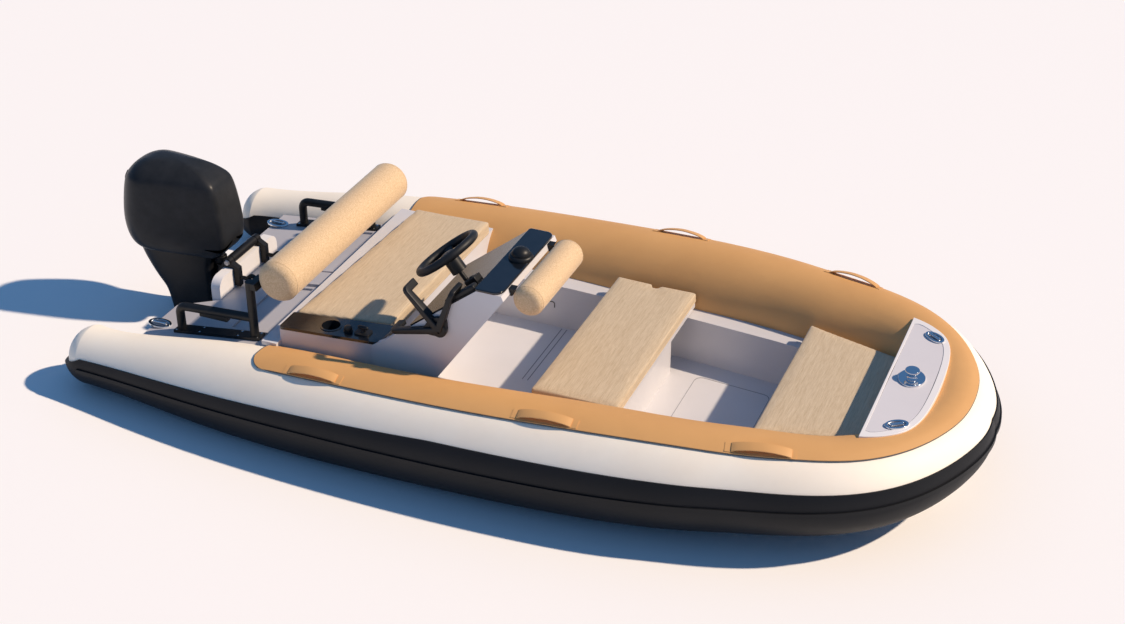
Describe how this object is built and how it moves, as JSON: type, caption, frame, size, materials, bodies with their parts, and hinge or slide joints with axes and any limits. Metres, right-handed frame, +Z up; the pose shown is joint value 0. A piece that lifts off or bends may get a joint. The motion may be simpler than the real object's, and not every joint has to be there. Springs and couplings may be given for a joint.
{
  "type": "rigid inflatable boat",
  "caption": "Open rigid inflatable boat with a horseshoe tube collar, helm seat, side console with wheel, two thwarts, bow deck and a tilting, steering outboard motor.",
  "frame": {"origin": "on the centreline at the waterline, at the stern ends of the upper tubes", "axes": "+X towards the bow, +Y to port, +Z up"},
  "size_m": [3.5245, 1.7008, 1.171],
  "materials": {
    "black_hypalon": "satin",
    "cream_hypalon": "satin",
    "tan_pad": "satin",
    "black_rubber": "matt",
    "white_gelcoat": "gloss",
    "cushion_weave": "woven",
    "bolster_fabric": "woven",
    "gloss_black": "gloss",
    "black_fitting": "satin",
    "black_grip": "matt",
    "chrome": "polished",
    "motor_black": "satin",
    "cowl_charcoal": "satin",
    "motor_metal": "cast"
  },
  "bodies": {
    "hull": {"aft_deck": "white_gelcoat", "armrest_fittings": "black_fitting", "armrest_panel": "gloss_black", "armrest_wall": "white_gelcoat", "bolster_brackets": "black_fitting", "bow_bollard": "chrome", "bow_cleats": "chrome", "bow_deck": "white_gelcoat", "clamp_bracket": "motor_black", "clamp_screws": "motor_black", "collar_lower": "black_hypalon", "collar_upper": "cream_hypalon", "compass": "gloss_black", "console_shell": "white_gelcoat", "dash_panel": "gloss_black", "deck_trays": "white_gelcoat", "front_bench_base": "white_gelcoat", "front_bench_cushion": "cushion_weave", "front_bolster": "bolster_fabric", "grab_handles_port": "tan_pad", "grab_handles_starboard": "tan_pad", "helm_seat_cushion": "cushion_weave", "hull_bottom": "white_gelcoat", "inner_liner": "white_gelcoat", "lever_frame": "black_fitting", "mid_bench_base": "white_gelcoat", "mid_bench_cushion": "cushion_weave", "rail_port": "black_fitting", "rail_starboard": "black_fitting", "rear_bolster": "bolster_fabric", "rub_strake": "black_rubber", "side_pad": "tan_pad", "steering_column": "black_fitting", "stern_cleats": "chrome", "transom_board": "white_gelcoat"},
    "swivel": {"swivel_bracket": "motor_black"},
    "motor": {"cowl": "cowl_charcoal", "powerhead": "motor_metal", "midsection": "motor_black", "lower_unit": "motor_black"},
    "propeller": {"propeller": "motor_metal"},
    "wheel": {"steering_wheel": "black_grip"}
  },
  "joints": [
    {"name": "outboard_tilt", "type": "hinge", "parent": "hull", "child": "swivel", "pos_m": [0.372, 0, 0.324], "axis": [0, 1, 0], "range_deg": [0, 60]},
    {"name": "outboard_steer", "type": "hinge", "parent": "swivel", "child": "motor", "pos_m": [0.268, 0, 0.17], "axis": [0, 0, 1], "range_deg": [-30, 30]},
    {"name": "propeller_spin", "type": "hinge", "parent": "motor", "child": "propeller", "pos_m": [-0.045, 0, -0.265], "axis": [1, 0, 0], "continuous": true},
    {"name": "wheel_turn", "type": "hinge", "parent": "hull", "child": "wheel", "pos_m": [1.42, -0.255, 0.668], "axis": [0.6157, 0, -0.788], "range_deg": [-540, 540]}
  ],
  "couplings": [
    {"joint": "wheel_turn", "follows": "outboard_steer", "ratio": 18}
  ]
}
